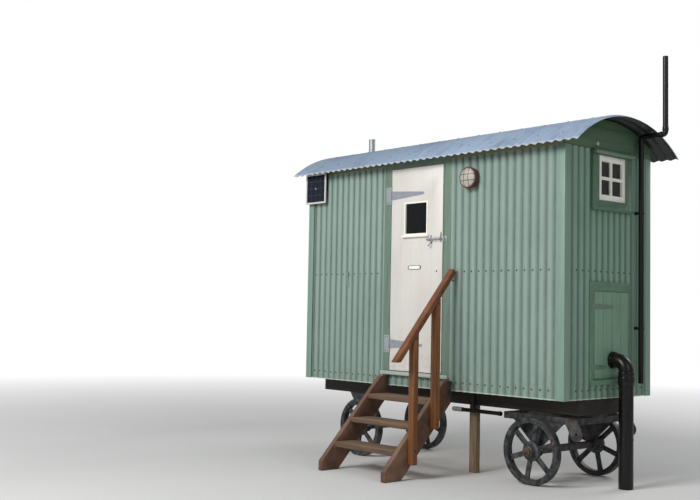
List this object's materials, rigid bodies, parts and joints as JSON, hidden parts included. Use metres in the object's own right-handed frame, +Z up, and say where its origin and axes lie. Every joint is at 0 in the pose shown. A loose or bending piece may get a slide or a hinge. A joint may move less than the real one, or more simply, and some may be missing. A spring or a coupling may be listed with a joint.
{
  "type": "shepherds hut",
  "caption": "Small shepherds hut with corrugated walls, a barrel roof, iron wheels, a boarded door with front steps and a handrail, an end window and a hatch.",
  "frame": {"origin": "on the ground, below the middle of the bounding box", "axes": "+X along the hut to the end with the hatch, +Y from the door wall to the back wall, +Z up"},
  "size_m": [3.35, 1.958, 3.304],
  "materials": {
    "wall_timber": "satin",
    "front_sheet": "satin",
    "green_boards": "satin",
    "green_iron": "satin",
    "roof_galvanised": "satin",
    "cream_paint": "satin",
    "window_glass": "gloss",
    "galvanised_iron": "satin",
    "lamp_copper": "satin",
    "lamp_glass": "satin",
    "solar_cells": "gloss",
    "black_pipe": "gloss",
    "chassis_paint": "satin",
    "wheel_iron": "matte",
    "weathered_timber": "matte",
    "rail_timber": "satin"
  },
  "bodies": {
    "hut": {"floor_platform": "wall_timber", "front_wall_left": "wall_timber", "front_wall_right": "wall_timber", "front_wall_head": "wall_timber", "back_wall": "wall_timber", "end_walls": "wall_timber", "right_end_rails": "wall_timber", "right_end_studs": "wall_timber", "side_cladding": "front_sheet", "end_cladding": "front_sheet", "corner_trims": "front_sheet", "gable_boards": "green_boards", "eaves_boards": "green_boards", "roof_lining": "wall_timber", "roof_sheet": "roof_galvanised", "door_frame": "green_boards", "threshold": "green_boards", "frame_ironwork": "galvanised_iron", "end_window_boards": "green_boards", "end_window_sash": "cream_paint", "end_window_glass": "window_glass", "hatch_frame": "green_boards", "hatch_door": "green_boards", "hatch_hinges": "green_iron", "lamp_body": "lamp_copper", "lamp_glass": "lamp_glass", "solar_panel": "solar_cells", "soil_pipe": "black_pipe", "vent_pipe": "black_pipe", "flue": "galvanised_iron", "chassis_beams": "chassis_paint", "turntable_upper": "chassis_paint", "rear_horns": "chassis_paint", "rear_axle": "chassis_paint", "step_stringers": "weathered_timber", "step_treads": "weathered_timber", "step_hooks": "chassis_paint", "rail_posts": "rail_timber", "handrail": "rail_timber", "prop": "weathered_timber", "waste_pipe": "black_pipe"},
    "door": {"door_leaf": "cream_paint", "door_glass": "window_glass", "door_window_bead": "cream_paint", "door_ironwork": "galvanised_iron"},
    "bolt": {"door_bolt": "galvanised_iron"},
    "hook": {"hold_back_hook": "galvanised_iron"},
    "front_carriage": {"turntable_lower": "chassis_paint", "carriage_frame": "chassis_paint", "front_horns": "chassis_paint", "front_axle": "chassis_paint", "drawbar_lugs": "chassis_paint"},
    "front_wheel_near": {"front_wheel_near": "wheel_iron"},
    "front_wheel_far": {"front_wheel_far": "wheel_iron"},
    "rear_wheel_near": {"rear_wheel_near": "wheel_iron"},
    "rear_wheel_far": {"rear_wheel_far": "wheel_iron"}
  },
  "joints": [
    {"name": "door_swing", "type": "hinge", "parent": "hut", "child": "door", "pos_m": [-0.444, -0.268, 0.792], "axis": [0, 0, -1], "range_deg": [0, 165]},
    {"name": "bolt_slide", "type": "slide", "parent": "door", "child": "bolt", "axis": [1, 0, 0], "range_m": [0, 0.042]},
    {"name": "hook_swing", "type": "hinge", "parent": "hut", "child": "hook", "pos_m": [-0.9906, -0.274, 1.61306], "axis": [0, 1, 0], "range_deg": [-80, 80]},
    {"name": "front_steer", "type": "hinge", "parent": "hut", "child": "front_carriage", "pos_m": [0.98, 0.299, 0.5237], "axis": [0, 0, 1], "range_deg": [-25, 25]},
    {"name": "front_near_spin", "type": "hinge", "parent": "front_carriage", "child": "front_wheel_near", "pos_m": [0.98, -0.111, 0.254], "axis": [0, 1, 0], "continuous": true},
    {"name": "front_far_spin", "type": "hinge", "parent": "front_carriage", "child": "front_wheel_far", "pos_m": [0.98, 0.709, 0.254], "axis": [0, 1, 0], "continuous": true},
    {"name": "rear_near_spin", "type": "hinge", "parent": "hut", "child": "rear_wheel_near", "pos_m": [-0.95, -0.111, 0.254], "axis": [0, 1, 0], "continuous": true},
    {"name": "rear_far_spin", "type": "hinge", "parent": "hut", "child": "rear_wheel_far", "pos_m": [-0.95, 0.709, 0.254], "axis": [0, 1, 0], "continuous": true}
  ]
}
